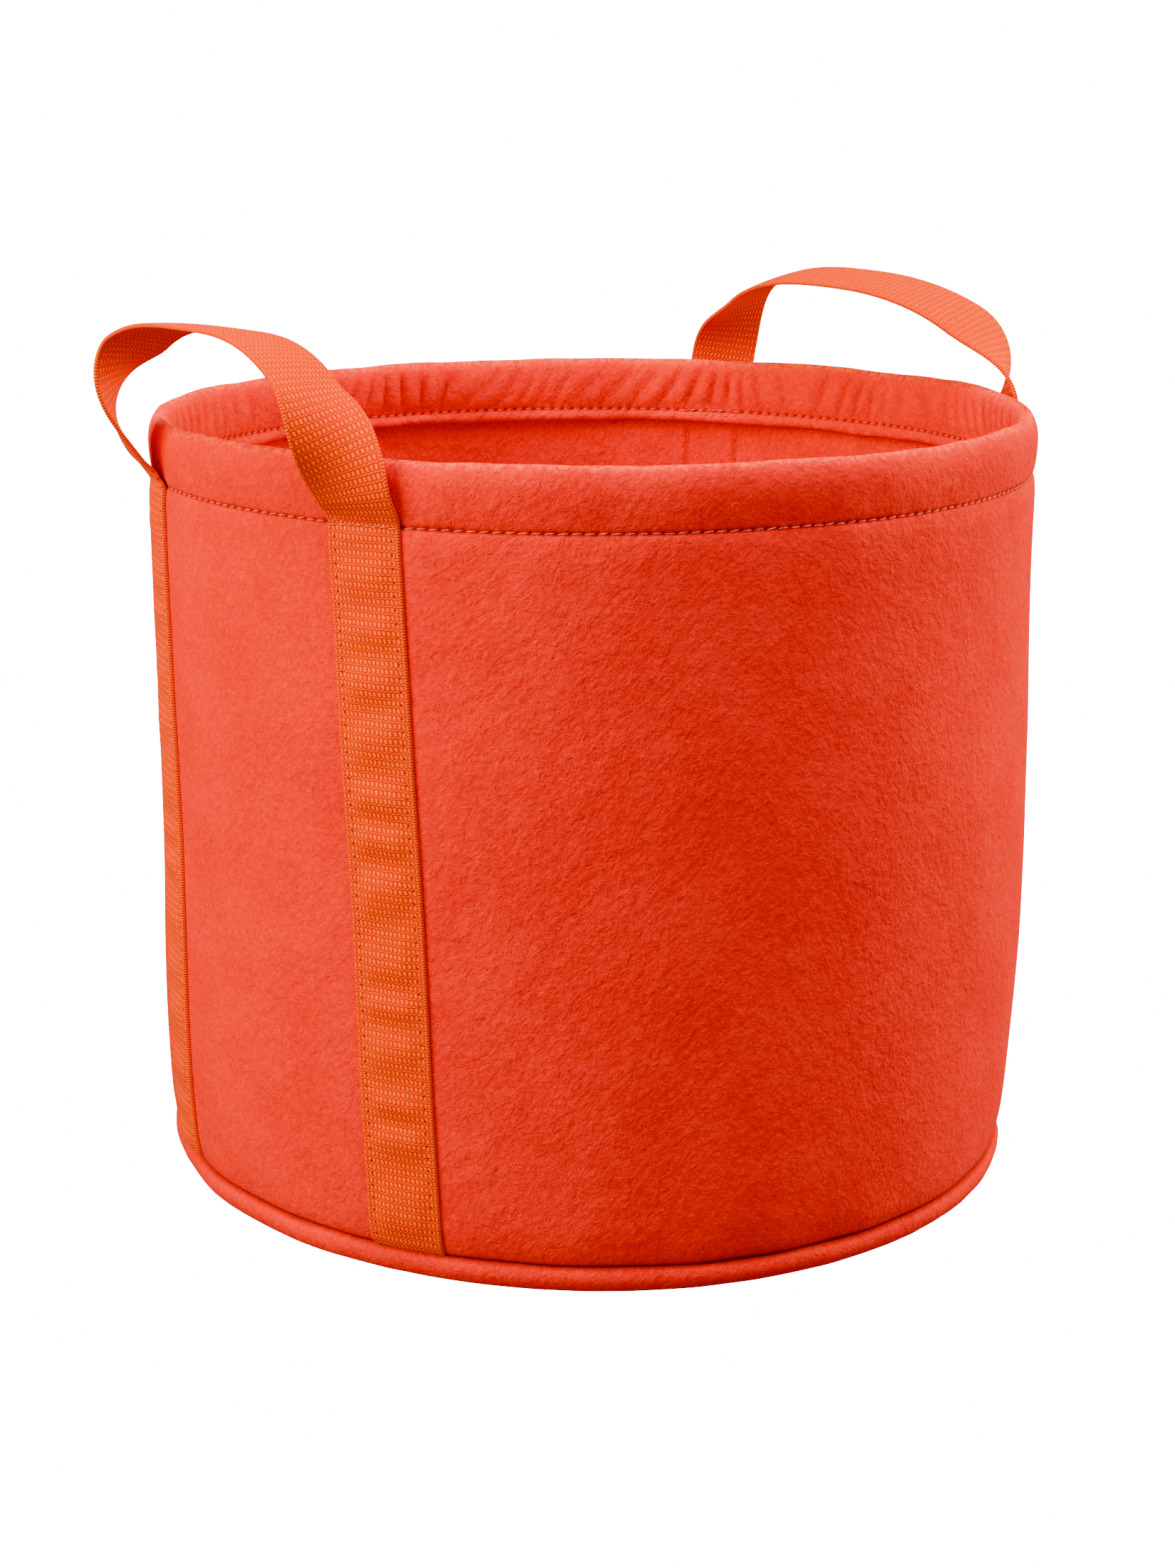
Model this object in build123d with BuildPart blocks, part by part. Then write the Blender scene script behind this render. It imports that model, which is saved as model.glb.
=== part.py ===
"""Round fabric grow bag with two webbing handles.  Millimetres, +Z up.

The origin is the centre of the base, on the surface the bag stands on.  The two
handles are on the -X side ("left") and on the +X side ("right").
"""
from build123d import *
from math import asin, copysign, cos, degrees, pi, radians, sin
import os

# ---------------------------------------------------------------- driving sizes
WALL_RADIUS = 152.5        # outside of the felt wall
BAG_HEIGHT = 265.0         # base to the top of the folded rim
FELT = 3.0                 # thickness of one layer of felt
HEM_STITCH_DROP = 20.0     # rim down to the stitching that holds the turned-in hem
HEM_RAW_EDGE = 4.0         # hem below that stitching, down to its raw edge
SEAM_HEIGHT = 9.5          # base to the seam between wall and base panel
SEAM_ALLOWANCE = 8.0       # felt inside the bag, past the base seam
BASE_CONTACT_INSET = 5.1   # ring that the bag stands on, inside the wall radius
WELT_BELLY_HEIGHT = 5.5    # widest point of the rolled base edge
WELT_OVERHANG = 0.1        # the rolled base edge stays this far inside the wall radius
SEAM_EASE = 2.0            # rounding of both panels where they turn into the seam

WEBBING_WIDTH = 25.0
WEBBING_THICKNESS = 1.5
STRAP_END_LIFT = 0.4       # strap end above the base seam
STRAP_ABOVE_STITCH = 3.0   # the sewn part of a strap ends this far above the hem stitching
STRAP_FLEX_GAP = 2.5       # free webbing that bends between the sewn strap and its handle

LEFT_FRONT_ANGLE = -157.5  # where the straps are sewn on, about +Z from +X
LEFT_BACK_ANGLE = 157.5
RIGHT_BACK_ANGLE = 32.0
RIGHT_FRONT_ANGLE = -22.5

LEFT_RISE = 52.5           # hem stitching to the middle line of the webbing at the crest
RIGHT_RISE = 57.5
LEFT_LEAN = 10.5           # crest outside the line between the handle's two feet
RIGHT_LEAN = -5.0
HANDLE_BOW_OUT = 7.5       # extra outward bow of each leg, half-way up
HANDLE_BOW_SIDE = 2.5      # extra spread of each leg, half-way up
LEFT_CREST_TILT = 5.0      # inner edge of the webbing below its outer edge, degrees
RIGHT_CREST_TILT = 11.0
ARCH_POWER = 2.4           # 2 is an ellipse, more is squarer
ARCH_TWIST_END = 50.0      # arch angle where the webbing has turned to lie flat
ARCH_STEPS = 24            # straight panels in each handle

HINGE_ABOVE_STITCH = 6.0   # fold line of a handle, above the hem stitching
HINGE_OUT = 10.0           # and outside the line between its feet

THREAD = 0.6               # how far the thread stands out
STITCH_ROW = 1.0           # width of a row of stitching
STRAP_ROW_INSET = 2.5      # strap edge to its row of stitching
TACK_ROWS = 2              # rows across each strap at the hem
TACK_PITCH = 1.6

# ---------------------------------------------------------------- derived sizes
HEM_STITCH_Z = BAG_HEIGHT - HEM_STITCH_DROP
HEM_EDGE_Z = HEM_STITCH_Z - HEM_RAW_EDGE
BASE_CONTACT_RADIUS = WALL_RADIUS - BASE_CONTACT_INSET
WELT_RADIUS = WALL_RADIUS - WELT_OVERHANG
WALL_INNER = WALL_RADIUS - FELT
HEM_INNER = WALL_INNER - FELT
SEAM_INNER = WALL_INNER - SEAM_ALLOWANCE
STRAP_BOTTOM_Z = SEAM_HEIGHT + STRAP_END_LIFT
STRAP_TOP_Z = HEM_STITCH_Z + STRAP_ABOVE_STITCH
STRAP_OUTER = WALL_RADIUS + WEBBING_THICKNESS
STRAP_ANGLE = degrees(WEBBING_WIDTH / (WALL_RADIUS + WEBBING_THICKNESS / 2))
ROW_ANGLE = degrees(STITCH_ROW / STRAP_OUTER)
ROW_OFFSET_ANGLE = STRAP_ANGLE / 2 - degrees(STRAP_ROW_INSET / STRAP_OUTER)
TACK_LENGTH_ANGLE = 2 * ROW_OFFSET_ANGLE - 3 * ROW_ANGLE
HALF_TURN = 180.0

FEET = {
    "left_front": LEFT_FRONT_ANGLE,
    "left_back": LEFT_BACK_ANGLE,
    "right_back": RIGHT_BACK_ANGLE,
    "right_front": RIGHT_FRONT_ANGLE,
}
HANDLES = {
    "left": (LEFT_FRONT_ANGLE, LEFT_BACK_ANGLE, LEFT_RISE, LEFT_LEAN, LEFT_CREST_TILT),
    "right": (RIGHT_BACK_ANGLE, RIGHT_FRONT_ANGLE, RIGHT_RISE, RIGHT_LEAN, RIGHT_CREST_TILT),
}

os.makedirs("parts", exist_ok=True)


def keep(part, name):
    """Label a finished piece and write its STEP file."""
    part.label = name
    export_step(part, f"parts/{name}.step")


# ---------------------------------------------------------------- felt panels
def wall_panel():
    """Felt sleeve: seam allowance turned in at the foot, hem folded in at the rim."""
    with BuildPart() as wall:
        with BuildSketch(Plane.XZ):
            with BuildLine():
                Polyline(
                    (SEAM_INNER, SEAM_HEIGHT),
                    (WALL_RADIUS - SEAM_EASE, SEAM_HEIGHT),
                    (WALL_RADIUS, SEAM_HEIGHT + SEAM_EASE),
                    (WALL_RADIUS, BAG_HEIGHT - FELT),
                )
                ThreePointArc(
                    (WALL_RADIUS, BAG_HEIGHT - FELT),
                    (WALL_INNER, BAG_HEIGHT),
                    (HEM_INNER, BAG_HEIGHT - FELT),
                )
                Polyline(
                    (HEM_INNER, BAG_HEIGHT - FELT),
                    (HEM_INNER, HEM_EDGE_Z),
                    (WALL_INNER, HEM_EDGE_Z),
                    (WALL_INNER, SEAM_HEIGHT + FELT),
                    (SEAM_INNER, SEAM_HEIGHT + FELT),
                    (SEAM_INNER, SEAM_HEIGHT),
                )
            make_face()
        revolve(axis=Axis.Z)
    keep(wall.part, "wall_panel")


def base_panel():
    """Felt disc whose edge rolls up to the seam and turns in under the wall."""
    with BuildPart() as base:
        with BuildSketch(Plane.XZ):
            with BuildLine():
                Line((0, 0), (BASE_CONTACT_RADIUS, 0))
                TangentArc(
                    (BASE_CONTACT_RADIUS, 0), (WELT_RADIUS, WELT_BELLY_HEIGHT), tangent=(1, 0)
                )
                Polyline(
                    (WELT_RADIUS, WELT_BELLY_HEIGHT),
                    (WELT_RADIUS, SEAM_HEIGHT - SEAM_EASE),
                    (WELT_RADIUS - SEAM_EASE, SEAM_HEIGHT),
                    (SEAM_INNER, SEAM_HEIGHT),
                    (SEAM_INNER, SEAM_HEIGHT - FELT),
                    (WELT_RADIUS - FELT, SEAM_HEIGHT - FELT),
                    (BASE_CONTACT_RADIUS, FELT),
                    (0, FELT),
                    (0, 0),
                )
            make_face()
        revolve(axis=Axis.Z)
    keep(base.part, "base_panel")


# ---------------------------------------------------------------- webbing
def wedge(middle, spread):
    """Corners of a pie slice from the bag's axis to well outside it."""
    reach = 2 * WALL_RADIUS
    angles = (middle - spread / 2, middle, middle + spread / 2)
    return [(0, 0)] + [(reach * cos(radians(a)), reach * sin(radians(a))) for a in angles]


def strap_leg(foot, middle):
    """Sewn-down end of a strap, from the base seam to just above the hem stitching."""
    with BuildPart() as leg:
        with BuildSketch(Plane.XY.offset(STRAP_BOTTOM_Z)):
            Circle(STRAP_OUTER)
            Circle(WALL_RADIUS, mode=Mode.SUBTRACT)
            Polygon(*wedge(middle, STRAP_ANGLE), align=None, mode=Mode.INTERSECT)
        extrude(amount=STRAP_TOP_Z - STRAP_BOTTOM_Z)
    keep(leg.part, f"{foot}_strap")


def chord_frame(first, second):
    """Middle of the line between two feet, its direction, and the way out from the bag."""
    radius = WALL_RADIUS + WEBBING_THICKNESS / 2
    start = Vector(radius * cos(radians(first)), radius * sin(radians(first)), HEM_STITCH_Z)
    end = Vector(radius * cos(radians(second)), radius * sin(radians(second)), HEM_STITCH_Z)
    along = (end - start).normalized()
    outward = Vector(-along.Y, along.X, 0)
    return (start + end) * 0.5, along, outward, (end - start).length / 2


def arch_point(angle, first, second, rise, lean):
    """Middle line of a handle; angle goes from 0 at its first foot to 180 at its second."""
    middle, along, outward, half_span = chord_frame(first, second)
    power = 2 / ARCH_POWER
    height = abs(sin(radians(angle))) ** power
    reach = -copysign(abs(cos(radians(angle))) ** power, cos(radians(angle)))
    bow = sin(pi * height)
    side = reach * half_span + copysign(HANDLE_BOW_SIDE * bow, reach)
    out = lean * height + HANDLE_BOW_OUT * bow
    return middle + along * side + outward * out + Vector(0, 0, rise * height)


def arch_plane(angle, first, second, rise, lean, tilt):
    """Cross-section plane of a handle: X runs across the webbing, Z along it."""
    step = 0.5
    before = arch_point(angle - step, first, second, rise, lean)
    after = arch_point(angle + step, first, second, rise, lean)
    tangent = (after - before).normalized()
    outward = chord_frame(first, second)[2]
    inward = (outward * -1 - tangent * tangent.dot(outward * -1)).normalized()
    away = inward.cross(tangent)
    foot_twist = 90 - ((first - second) % 360) / 2
    turned = min(min(angle, HALF_TURN - angle) / ARCH_TWIST_END, 1)
    smooth = turned * turned * (3 - 2 * turned)
    twist = radians(foot_twist * (1 - smooth) - tilt * smooth)
    across = inward * cos(twist) + away * sin(twist)
    origin = arch_point(angle, first, second, rise, lean)
    return Plane(origin=origin, x_dir=across, z_dir=tangent)


def loop_start_angle(rise):
    """Arch angle at which the free handle begins, just above the sewn strap."""
    height = (STRAP_ABOVE_STITCH + STRAP_FLEX_GAP) / rise
    return degrees(asin(height ** (ARCH_POWER / 2)))


def handle_loop(side, first, second, rise, lean, tilt):
    """Free middle of a strap, which stands up as a carrying handle."""
    start = loop_start_angle(rise)
    stretch = HALF_TURN - 2 * start
    with BuildPart() as loop:
        for index in range(ARCH_STEPS + 1):
            share = index / ARCH_STEPS
            angle = start + stretch * share
            with BuildSketch(arch_plane(angle, first, second, rise, lean, tilt)):
                Rectangle(WEBBING_WIDTH, WEBBING_THICKNESS)
        loft(ruled=True)
    keep(loop.part, f"{side}_handle")


# ---------------------------------------------------------------- thread
def thread_ring(name, radius_in, radius_out, height):
    """One row of stitching all the way round."""
    with BuildPart() as ring:
        with BuildSketch(Plane.XY.offset(height - STITCH_ROW / 2)):
            Circle(radius_out)
            Circle(radius_in, mode=Mode.SUBTRACT)
        extrude(amount=STITCH_ROW)
    keep(ring.part, name)


def hem_needle_thread():
    """Outside row of the hem stitching, which stops at each strap."""
    angles = sorted(FEET.values())
    with BuildPart() as rows:
        for index, angle in enumerate(angles):
            following = angles[index + 1] if index + 1 < len(angles) else angles[0] + 360
            spread = following - angle - STRAP_ANGLE - 2 * ROW_ANGLE
            with BuildSketch(Plane.XY.offset(HEM_STITCH_Z - STITCH_ROW / 2)):
                Circle(WALL_RADIUS + THREAD)
                Circle(WALL_RADIUS, mode=Mode.SUBTRACT)
                corners = wedge((angle + following) / 2, spread)
                Polygon(*corners, align=None, mode=Mode.INTERSECT)
            extrude(amount=STITCH_ROW)
    keep(rows.part, "hem_needle_thread")


def strap_edge_thread(foot, middle):
    """Two rows down a strap, one along each edge."""
    with BuildPart() as rows:
        for offset in (-ROW_OFFSET_ANGLE, ROW_OFFSET_ANGLE):
            with BuildSketch(Plane.XY.offset(STRAP_BOTTOM_Z)):
                Circle(STRAP_OUTER + THREAD)
                Circle(STRAP_OUTER, mode=Mode.SUBTRACT)
                corners = wedge(middle + offset, ROW_ANGLE)
                Polygon(*corners, align=None, mode=Mode.INTERSECT)
            extrude(amount=STRAP_TOP_Z - STRAP_BOTTOM_Z - STITCH_ROW)
    keep(rows.part, f"{foot}_edge_thread")


def strap_tack_thread(foot, middle):
    """Short rows across a strap that tack it to the hem."""
    with BuildPart() as rows:
        for index in range(TACK_ROWS):
            height = HEM_STITCH_Z - STITCH_ROW / 2 + index * TACK_PITCH
            with BuildSketch(Plane.XY.offset(height)):
                Circle(STRAP_OUTER + THREAD)
                Circle(STRAP_OUTER, mode=Mode.SUBTRACT)
                corners = wedge(middle, TACK_LENGTH_ANGLE)
                Polygon(*corners, align=None, mode=Mode.INTERSECT)
            extrude(amount=STITCH_ROW)
    keep(rows.part, f"{foot}_tack_thread")


def print_fold_lines():
    """Report where each handle folds, for the joint axes."""
    for side, (first, second, *_) in HANDLES.items():
        middle, along, outward, _ = chord_frame(first, second)
        hinge = middle + outward * HINGE_OUT + Vector(0, 0, HINGE_ABOVE_STITCH)
        print(side, "fold line through", hinge, "along", along)


wall_panel()
base_panel()
for foot_name, foot_angle in FEET.items():
    strap_leg(foot_name, foot_angle)
    strap_edge_thread(foot_name, foot_angle)
    strap_tack_thread(foot_name, foot_angle)
for side_name, shape in HANDLES.items():
    handle_loop(side_name, *shape)
hem_needle_thread()
thread_ring("hem_bobbin_thread", HEM_INNER - THREAD, HEM_INNER, HEM_STITCH_Z)
thread_ring("base_seam_thread", SEAM_INNER - THREAD, SEAM_INNER, SEAM_HEIGHT)
print_fold_lines()
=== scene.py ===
import bmesh
import bpy
import random
from math import atan2, copysign, cos, floor, pi, radians, sin, sqrt
from mathutils import Matrix, Vector, noise


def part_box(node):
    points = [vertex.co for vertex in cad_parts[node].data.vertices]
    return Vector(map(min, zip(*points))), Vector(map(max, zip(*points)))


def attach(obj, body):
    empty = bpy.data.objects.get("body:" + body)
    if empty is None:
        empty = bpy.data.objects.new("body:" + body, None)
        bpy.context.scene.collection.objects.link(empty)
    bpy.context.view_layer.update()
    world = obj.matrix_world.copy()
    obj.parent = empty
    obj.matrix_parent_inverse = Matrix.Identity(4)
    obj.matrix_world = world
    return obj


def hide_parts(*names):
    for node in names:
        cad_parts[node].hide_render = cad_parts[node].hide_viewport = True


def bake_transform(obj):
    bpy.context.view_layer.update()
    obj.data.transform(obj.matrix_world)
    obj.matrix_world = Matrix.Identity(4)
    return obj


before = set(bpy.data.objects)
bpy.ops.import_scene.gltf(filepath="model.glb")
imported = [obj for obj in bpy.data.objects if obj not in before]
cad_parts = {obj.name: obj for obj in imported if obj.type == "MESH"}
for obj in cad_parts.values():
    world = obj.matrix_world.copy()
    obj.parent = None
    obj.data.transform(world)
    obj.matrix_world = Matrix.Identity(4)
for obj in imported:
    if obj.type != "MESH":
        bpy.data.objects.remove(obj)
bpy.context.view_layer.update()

random.seed(7)
MM = 0.001

# ------------------------------------------------------------ sizes from the frame
wall_low, wall_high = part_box("wall_panel")
WALL_RADIUS = wall_high[0]
BAG_HEIGHT = wall_high[2]
SEAM_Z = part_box("base_panel")[1][2]
hem_low, hem_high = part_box("hem_needle_thread")
HEM_Z = (hem_low[2] + hem_high[2]) / 2
LEG_BOTTOM_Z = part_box("left_front_strap")[0][2]

# ------------------------------------------------------------ sizes of the materials
FELT = 3.0 * MM
WEBBING_WIDTH = 25.0 * MM
WEBBING_THICKNESS = 1.5 * MM
HEM_RAW_EDGE = 4.5 * MM        # hem below its stitching
HEM_PITCH = 4.0 * MM           # stitch length round the hem
EDGE_PITCH = 4.2 * MM          # stitch length down the straps
EDGE_INSET = 2.4 * MM          # strap edge to its stitching
TACK_GAP = 1.6 * MM            # between the rows across a strap
THREAD = 0.5 * MM
EDGE_THREAD = 0.42 * MM        # the finer threads down the straps, outside
INNER_THREAD = 0.45 * MM       # and inside
TACK_THREAD = 0.6 * MM
TACK_PITCH = 3.1 * MM
HEM_INNER_RADIUS = 147.0 * MM  # inner face of the hem at its stitching
SEAM_ROW_RADIUS = 144.4 * MM   # the row through the base seam's turned-in edges
SEAM_ROW_Z = 12.75 * MM
SEWN_RISE = 9 * MM             # over this rise a strap leaves the hem for its handle

# ------------------------------------------------------------ how the soft bag stands
TWIST = radians(5.2)           # the wall is turned this much at its foot
RIM_TILT = (0.0162, -0.0060)   # rise of the rim per metre along X and Y
FOOT_LEAN = (0.1 * MM, -0.1 * MM)   # the foot of the bag stands this much aside
RIM_LEAN = (-1.1 * MM, 0.9 * MM)     # and its rim the other way
LEAN_HEIGHT = 90 * MM
FOOT_OVAL = 1.2 * MM                 # the foot is out of round by this much
OVAL_TURN = radians(-39)
WALL_STEPS = 960
BASE_STEPS = 720
GATHER_PITCH = 10 * MM         # between the creases of the turned-in hem
PUCKER_PITCH = 17 * MM         # between the puckers of a sewn strap
STRAP_COLUMNS = 14
STRAP_STEP = 1.3 * MM           # between the rows of a strap's mesh
ARCH_STEPS = 140
STRAP_DIP = 0.5 * MM           # the straps press this far into the felt

# Height and radius of the outside of the wall, from the base seam to the rim.
WALL_OUTLINE = (
    (9.5, 150.5), (11, 151.6), (14, 152.5), (22, 153.4), (45, 154.1), (90, 154.4),
    (140, 153.9), (190, 153.2), (222, 153.0), (236, 153.0), (241, 152.8), (245, 152.3),
    (249, 152.8), (254, 153.2), (259, 153.0), (262.5, 151.9), (264.6, 150.4), (265, 149.0),
)
# The folded rim and the hem inside it, down to the raw edge and on to the wall.
RIM_OUTLINE = (
    (264.9, 149.0), (264.4, 147.8), (263.3, 146.9), (261.6, 146.3), (259.5, 146.0),
    (257, 145.9), (254.5, 146.0), (252, 146.1), (250, 146.3), (248.3, 146.5),
    (247, 146.7), (246, 146.9), (245, 147.1), (244, 147.0), (243, 146.8),
    (242, 146.8), (241, 147.0), (240.4, 147.6), (240.3, 148.6), (240.5, 149.6),
)

# Each handle: its feet in order, the rise and outward lean of its crest, and for each foot
# the webbing's tilt, its bulge outwards and sideways, and how square its shoulder is. The
# skew raises the first shoulder and lowers the second.
HANDLES = {
    "left": dict(first="left_front", second="left_back", rise=52.5 * MM, lean=10.5 * MM,
                 tilt=(radians(5), radians(5)), bow_out=(3.0 * MM, 9.0 * MM),
                 bow_side=(1.5 * MM, 3.0 * MM), square=(2.4, 4.2), skew=0.0),
    "right": dict(first="right_back", second="right_front", rise=57.5 * MM, lean=-5.0 * MM,
                  tilt=(radians(11), radians(11)), bow_out=(7.5 * MM, 7.5 * MM),
                 bow_side=(-3.0 * MM, 3.0 * MM), square=(2.7, 2.5), skew=2.2 * MM),
}
ARCH_TWIST_END = radians(50)   # how far up the arch the webbing turns to face the bag


def foot_angle(foot):
    """Where a strap is sewn on, about +Z from +X."""
    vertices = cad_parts[foot + "_strap"].data.vertices
    middle = sum((v.co for v in vertices), Vector()) / len(vertices)
    return atan2(middle.y, middle.x)


# Degrees by which a strap is sewn on aside of its even place.
ASIDE = {"left_front": 1.0, "left_back": 1.4, "right_back": 0.0, "right_front": 0.0}
FEET = {foot: foot_angle(foot) + radians(aside) for foot, aside in ASIDE.items()}


# ------------------------------------------------------------ curves and noise
def ease(value):
    """Smooth step from 0 to 1."""
    value = min(max(value, 0.0), 1.0)
    return value * value * (3 - 2 * value)


def bump(value, middle, reach):
    """1 at middle, falling smoothly to 0 at reach on either side."""
    return 1 - ease(abs(value - middle) / reach)


def through(table, height):
    """Smooth curve through (height, size) rows, in millimetres, at a height in metres."""
    z = height / MM
    if z <= table[0][0]:
        return table[0][1] * MM
    if z >= table[-1][0]:
        return table[-1][1] * MM
    index = next(i for i in range(len(table) - 1) if z <= table[i + 1][0])
    low, high = table[index], table[index + 1]
    before = table[max(index - 1, 0)]
    after = table[min(index + 2, len(table) - 1)]
    span = high[0] - low[0]
    t = (z - low[0]) / span
    slope_low = (high[1] - before[1]) / max(high[0] - before[0], 1e-6) * span
    slope_high = (after[1] - low[1]) / max(after[0] - low[0], 1e-6) * span
    return MM * (
        (2 * t**3 - 3 * t**2 + 1) * low[1] + (t**3 - 2 * t**2 + t) * slope_low
        + (3 * t**2 - 2 * t**3) * high[1] + (t**3 - t**2) * slope_high
    )


known_sizes = {}


def wall_size(height):
    """Radius of the outline of the wall at a height, remembered once worked out."""
    key = round(height, 6)
    if key not in known_sizes:
        known_sizes[key] = through(WALL_OUTLINE, height)
    return known_sizes[key]


def waves(angle, height, round_size, tall_size, seed):
    """Noise over the wall with waves of about these sizes, in metres."""
    across = WALL_RADIUS / round_size
    return noise.noise(Vector((
        cos(angle) * across + seed * 7.3, sin(angle) * across - seed * 3.1,
        height / tall_size + seed * 11.7,
    )))


def polar(angle, radius, height):
    """Point at an angle about +Z from +X."""
    return Vector((radius * cos(angle), radius * sin(angle), height))


def turn_between(first, second):
    """Signed angle from first to second, between -pi and pi."""
    return (second - first + pi) % (2 * pi) - pi


def strap_nearness(angle, margin=2.5 * MM):
    """1 under a strap, falling to 0 just past its edges."""
    half = WEBBING_WIDTH / 2
    distance = min(abs(turn_between(foot, angle)) for foot in FEET.values()) * WALL_RADIUS
    return 1 - ease((distance - half + margin) / (2 * margin))


def foot_oval(angle, height):
    """How far the foot of the bag is pressed in out of round."""
    return FOOT_OVAL * (1 - ease(height / LEAN_HEIGHT)) * cos(2 * (angle - OVAL_TURN))


def felt_radius(angle, height):
    """Outside of the felt wall before the bag is twisted and tilted."""
    radius = wall_size(height) - foot_oval(angle, height)
    body = ease(height / (30 * MM)) * 0.7 + 0.3
    radius += 1.5 * MM * body * waves(angle, height, 0.16, 0.13, 1)
    radius += 0.7 * MM * body * waves(angle, height, 0.055, 0.07, 2)
    radius += 0.18 * MM * waves(angle, height, 0.016, 0.02, 3)
    near_hem = bump(height, HEM_Z, 24 * MM) * (1 - bump(height, HEM_Z, 2 * MM))
    radius += 0.6 * MM * near_hem * waves(angle, height, 0.013, 0.06, 4)
    near_seam = bump(height, SEAM_Z, 16 * MM)
    radius += 0.7 * MM * near_seam * waves(angle, height, 0.02, 0.05, 5)
    if height < HEM_Z + 2 * MM:
        radius -= STRAP_DIP * strap_nearness(angle)
    return radius


def hem_pull(angle, height):
    """The hem stitches pull the felt in, most at their needle holes."""
    place = angle * stitch_count() / (2 * pi)
    hole = 0.5 + 0.5 * cos(2 * pi * place)
    return -MM * (0.30 * hole * bump(height, HEM_Z, 2 * MM) + 0.35 * bump(height, HEM_Z, 1.2 * MM))


def stitch_count():
    """Stitches round the hem, a whole number."""
    return round(2 * pi * WALL_RADIUS / HEM_PITCH)


def settle(point):
    """Twist, tilt and lean of the soft bag, which everything sewn to it follows."""
    turn = TWIST * max(1 - point.z / HEM_Z, 0)
    share = point.z / BAG_HEIGHT
    share *= 1 - ease((point.z - BAG_HEIGHT) / (45 * MM))
    x = point.x * cos(turn) - point.y * sin(turn)
    y = point.x * sin(turn) + point.y * cos(turn)
    foot = 1 - ease(point.z / LEAN_HEIGHT)
    rim = ease((point.z - BAG_HEIGHT + 1.6 * LEAN_HEIGHT) / (1.5 * LEAN_HEIGHT))
    rim *= 1 - ease((point.z - BAG_HEIGHT) / (45 * MM))
    return Vector((x + foot * FOOT_LEAN[0] + rim * RIM_LEAN[0],
                   y + foot * FOOT_LEAN[1] + rim * RIM_LEAN[1],
                   point.z + share * (x * RIM_TILT[0] + y * RIM_TILT[1])))


def wall_point(angle, height, lift=0.0):
    """Finished place on the outside of the wall, lift proud of it."""
    return settle(polar(angle, felt_radius(angle, height) + lift, height))


# ------------------------------------------------------------ making pieces
def piece(name, bm, material, body, stands_for=()):
    """Turn a bmesh into a finished piece that rides on a body."""
    mesh = bpy.data.meshes.new(name)
    bm.to_mesh(mesh)
    bm.free()
    made = bpy.data.objects.new(name, mesh)
    bpy.context.scene.collection.objects.link(made)
    mesh.shade_smooth()
    mesh.materials.append(material)
    if body:
        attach(made, body)
    if stands_for:
        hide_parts(*stands_for)
    return made


def rolled(outline, steps, change):
    """Felt rolled once round +Z from a flat grid whose rows follow an outline.

    change(angle, row, radius, height) gives the finished place of a vertex and its painted shading:
    above zero painted shade, below zero painted highlight.
    """
    bm = bmesh.new()
    # Painted shading per vertex: painted shade in grooves, seams, needle holes and gather creases,
    # painted highlight on the rim's crest.
    painted_shading = bm.verts.layers.float.new("painted_shading")
    made = bmesh.ops.create_grid(bm, x_segments=steps, y_segments=len(outline) - 1, size=1)
    for index, vertex in enumerate(made["verts"]):
        row, step = divmod(index, steps + 1)
        place, shade = change(2 * pi * (step % steps) / steps - pi, row, *outline[row])
        vertex.co = place
        vertex[painted_shading] = shade
    bmesh.ops.remove_doubles(bm, verts=bm.verts, dist=1e-7)
    bmesh.ops.recalc_face_normals(bm, faces=bm.faces)
    return bm


# ------------------------------------------------------------ felt wall
def wall_heights():
    """Heights of the wall's rings, close together at the seam, the hem and the rim."""
    heights = [9.5, 10.2, 11, 12.5, 14.5, 17, 20, 25]
    heights += [25 + 9.2 * k for k in range(1, 23)]
    heights += [232, 236, 239, 241, 242.4, 243.4, 244, 244.5, 245, 245.5, 246, 246.6]
    heights += [247.4, 248.5, 250, 252, 254, 256, 258, 260, 261.5, 262.8, 263.8, 264.5, 264.9, 265]
    return [height * MM for height in heights]


OUTSIDE = [(wall_size(z), z) for z in wall_heights()]
TURNED_IN = [(radius * MM, z * MM) for z, radius in RIM_OUTLINE]
INSIDE = [(wall_size(z * MM) - FELT, z * MM)
          for z in (236, 229, 220, 208, 192, 170, 145, 120, 95, 70, 45, 25, 16)]
ALLOWANCE = [(radius * MM, z * MM) for radius, z in
             ((148.2, 12.8), (145, 12.6), (141.6, 12.4), (141.3, 11.2), (141.5, 9.9), (146, 9.6))]


def gather_depth(angle, height):
    """Upright gathers of the turned-in hem: 0 at a fold and 1 half way between two."""
    count = round(2 * pi * WALL_RADIUS / GATHER_PITCH)
    place = angle * count / (2 * pi) + 1.6 * waves(angle, 0, 0.035, 1, 11)
    place += 3.0 * waves(angle, 0, 0.045, 1, 12) * (height - HEM_Z) / (20 * MM)
    return sqrt(abs(sin(pi * place)) + 1e-4)


def needle_hole(angle):
    """1 at the needle holes of the hem and 0 half way between two."""
    place = angle * stitch_count() / (2 * pi)
    return ease(2.2 * abs((place % 1) - 0.5) - 0.1)


def rim_rise(angle, height):
    """The rim and the hem aren't quite level."""
    above = ease((height - HEM_Z) / (15 * MM))
    return above * MM * (0.9 * waves(angle, 0, 0.05, 1, 21) + 0.35 * waves(angle, 0, 0.014, 1, 22))


def rim_crest_highlight(height):
    """Painted highlight on the crest of the rim's fold, kept as painted shading below zero."""
    return ease((height - 262.3 * MM) / (2.2 * MM))


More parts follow.
